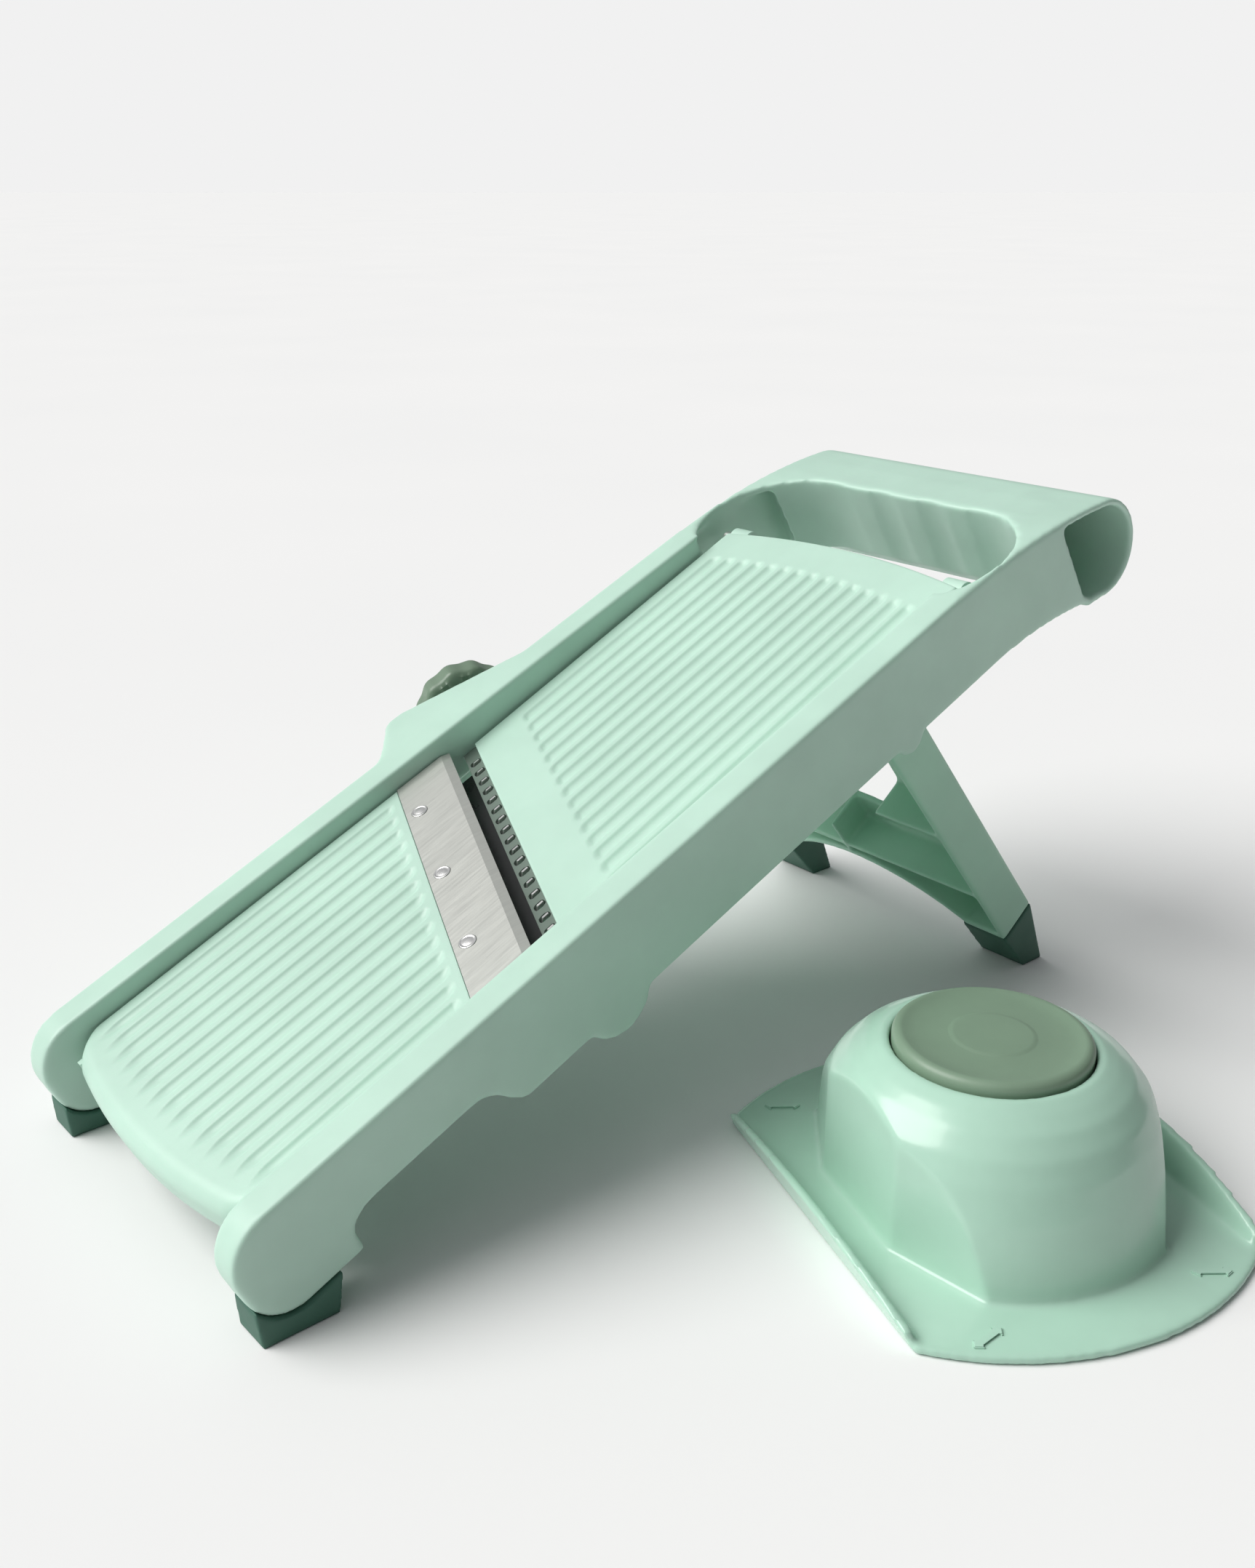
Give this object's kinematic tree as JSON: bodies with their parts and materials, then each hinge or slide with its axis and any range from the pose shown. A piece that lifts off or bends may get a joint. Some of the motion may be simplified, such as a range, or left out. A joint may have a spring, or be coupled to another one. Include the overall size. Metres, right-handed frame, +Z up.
{
  "type": "mandoline slicer",
  "caption": "Sloping mandoline slicer with a skewed fixed blade, dial-set feed plate, julienne comb, fold-out rear leg, hollow handle and a loose hand guard.",
  "frame": {"origin": "middle of the sole of the front foot on the -Y side, on the table", "axes": "+Z up, the tray climbs along +X, the dial is on the +Y side"},
  "size_m": [0.3499, 0.3009, 0.1685],
  "materials": {
    "mint_plastic": "satin moulded plastic",
    "sage_plastic": "satin moulded plastic",
    "dark_rubber": "matte",
    "blade_steel": "ground",
    "pin_steel": "drawn",
    "black_plastic": "gloss",
    "print_white": "matte"
  },
  "bodies": {
    "base": {"main_frame": "mint_plastic", "runway": "mint_plastic", "blade": "blade_steel", "blade_rivets": "pin_steel", "feed_pins": "pin_steel", "stand_pins": "mint_plastic", "foot_front_near": "dark_rubber", "foot_front_far": "dark_rubber"},
    "dial": {"adjust_knob": "sage_plastic", "dial_face": "black_plastic", "dial_print": "print_white", "knob_shaft": "black_plastic", "shaft_clip": "pin_steel"},
    "feed": {"feed_plate": "mint_plastic"},
    "comb": {"comb_carrier": "black_plastic", "comb_teeth": "pin_steel"},
    "stand": {"stand_frame": "mint_plastic", "foot_rear_near": "dark_rubber", "foot_rear_far": "dark_rubber"},
    "guard": {"guard_shell": "mint_plastic"},
    "plunger": {"guard_cap": "sage_plastic", "guard_plunger": "mint_plastic", "guard_pins": "pin_steel", "guard_spring": "pin_steel"}
  },
  "joints": [
    {"name": "dial_turn", "type": "hinge", "parent": "base", "child": "dial", "pos_m": [0.15385, 0.1354, 0.09137], "axis": [0.3125, 0.9397, 0.1391], "range_deg": [-67.5, 67.5]},
    {"name": "feed_tilt", "type": "hinge", "parent": "base", "child": "feed", "pos_m": [0.25878, 0.059, 0.14335], "axis": [0, -1, 0], "range_deg": [-1.67, 1.67]},
    {"name": "comb_lift", "type": "slide", "parent": "feed", "child": "comb", "axis": [-0.38, 0, 0.925], "range_m": [0, 0.004]},
    {"name": "leg_fold", "type": "hinge", "parent": "base", "child": "stand", "pos_m": [0.22173, 0.059, 0.1066], "axis": [0, 1, 0], "range_deg": [0, 104]},
    {"name": "guard_slide", "type": "slide", "parent": "base", "child": "guard", "axis": [-0.3272, -0.9449, 0], "range_m": [0, 0.15]},
    {"name": "cap_press", "type": "slide", "parent": "guard", "child": "plunger", "axis": [0, 0, -1], "range_m": [0, 0.012], "stiffness_N_per_m": 120, "springref_m": -0.004, "deforming": ["guard_spring"]}
  ],
  "couplings": [
    {"joint": "feed_tilt", "follows": "dial_turn", "ratio": 0.024659}
  ]
}
